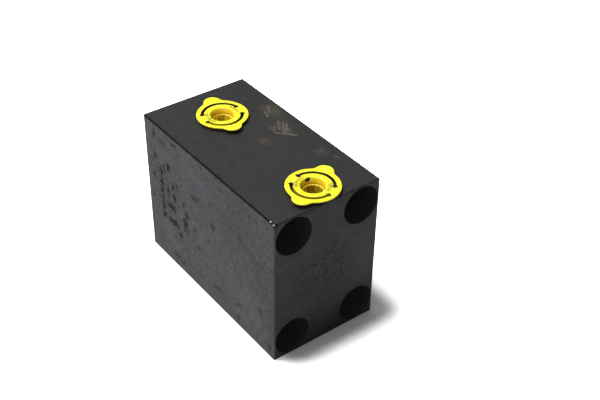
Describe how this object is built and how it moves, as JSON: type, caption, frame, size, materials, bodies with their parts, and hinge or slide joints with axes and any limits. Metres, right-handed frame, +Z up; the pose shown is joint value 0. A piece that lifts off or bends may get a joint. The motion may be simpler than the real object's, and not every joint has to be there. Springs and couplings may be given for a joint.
{
  "type": "hydraulic monoblock valve",
  "caption": "Rectangular steel hydraulic valve block that locks a cylinder with pilot-operated checks, bolted by its end face, with plugged top ports.",
  "frame": {"origin": "centre of the flat mounting face, on the centre of the four-screw pattern", "axes": "+Y leaves the block through the mounting face, along the screws; +X runs across the width; +Z points up through the face with the two service ports"},
  "size_m": [0.06, 0.1127, 0.0843],
  "materials": {
    "phosphated_steel": "matt black phosphate over milled and ground faces, light handling wear",
    "yellow_polyethylene": "soft satin moulded polyethylene, slightly translucent",
    "zinc_plated_steel": "turned and zinc plated",
    "hardened_steel": "hardened and ground",
    "spring_steel": "oil-tempered wire",
    "polished_ball_steel": "polished",
    "nitrile_rubber": "smooth matt",
    "ptfe": "smooth, waxy"
  },
  "bodies": {
    "valve_block": {"valve_body": "phosphated_steel", "end_plug": "zinc_plated_steel", "end_plug_o_ring": "nitrile_rubber", "end_plug_backup_ring": "ptfe", "rear_check_spring": "spring_steel", "rear_seat": "hardened_steel", "rear_seat_o_ring": "nitrile_rubber", "rear_seat_backup_ring": "ptfe", "pilot_sleeve": "hardened_steel", "pilot_sleeve_o_ring": "nitrile_rubber", "pilot_sleeve_backup_rings": "ptfe", "front_seat": "hardened_steel", "front_seat_o_ring": "nitrile_rubber", "front_seat_backup_ring": "ptfe", "front_check_spring": "spring_steel", "front_poppet_cage": "hardened_steel", "v1_face_o_ring": "nitrile_rubber", "v2_face_o_ring": "nitrile_rubber", "v1_expander_shell": "zinc_plated_steel", "v1_expander_ball": "polished_ball_steel", "v2_expander_shell": "zinc_plated_steel", "v2_expander_ball": "polished_ball_steel"},
    "rear_transit_plug": {"rear_port_plug": "yellow_polyethylene"},
    "front_transit_plug": {"front_port_plug": "yellow_polyethylene"},
    "piston": {"pilot_piston": "hardened_steel"},
    "rear_poppet": {"rear_check_poppet": "hardened_steel"},
    "front_poppet": {"front_check_poppet": "hardened_steel"}
  },
  "joints": [
    {"name": "rear_plug_pull", "type": "slide", "parent": "valve_block", "child": "rear_transit_plug", "axis": [0, 0, 1], "range_m": [0, 0.015]},
    {"name": "front_plug_pull", "type": "slide", "parent": "valve_block", "child": "front_transit_plug", "axis": [0, 0, 1], "range_m": [0, 0.015]},
    {"name": "pilot_shift", "type": "slide", "parent": "valve_block", "child": "piston", "axis": [0, 1, 0], "range_m": [0, 0.004]},
    {"name": "rear_poppet_lift", "type": "slide", "parent": "valve_block", "child": "rear_poppet", "axis": [0, 1, 0], "range_m": [0, 0.004], "deforming": ["rear_check_spring"]},
    {"name": "front_poppet_lift", "type": "slide", "parent": "valve_block", "child": "front_poppet", "axis": [0, -1, 0], "range_m": [0, 0.004], "deforming": ["front_check_spring"]}
  ],
  "couplings": [
    {"joint": "rear_poppet_lift", "follows": "pilot_shift", "ratio": 1},
    {"joint": "front_poppet_lift", "follows": "pilot_shift", "ratio": 1}
  ]
}
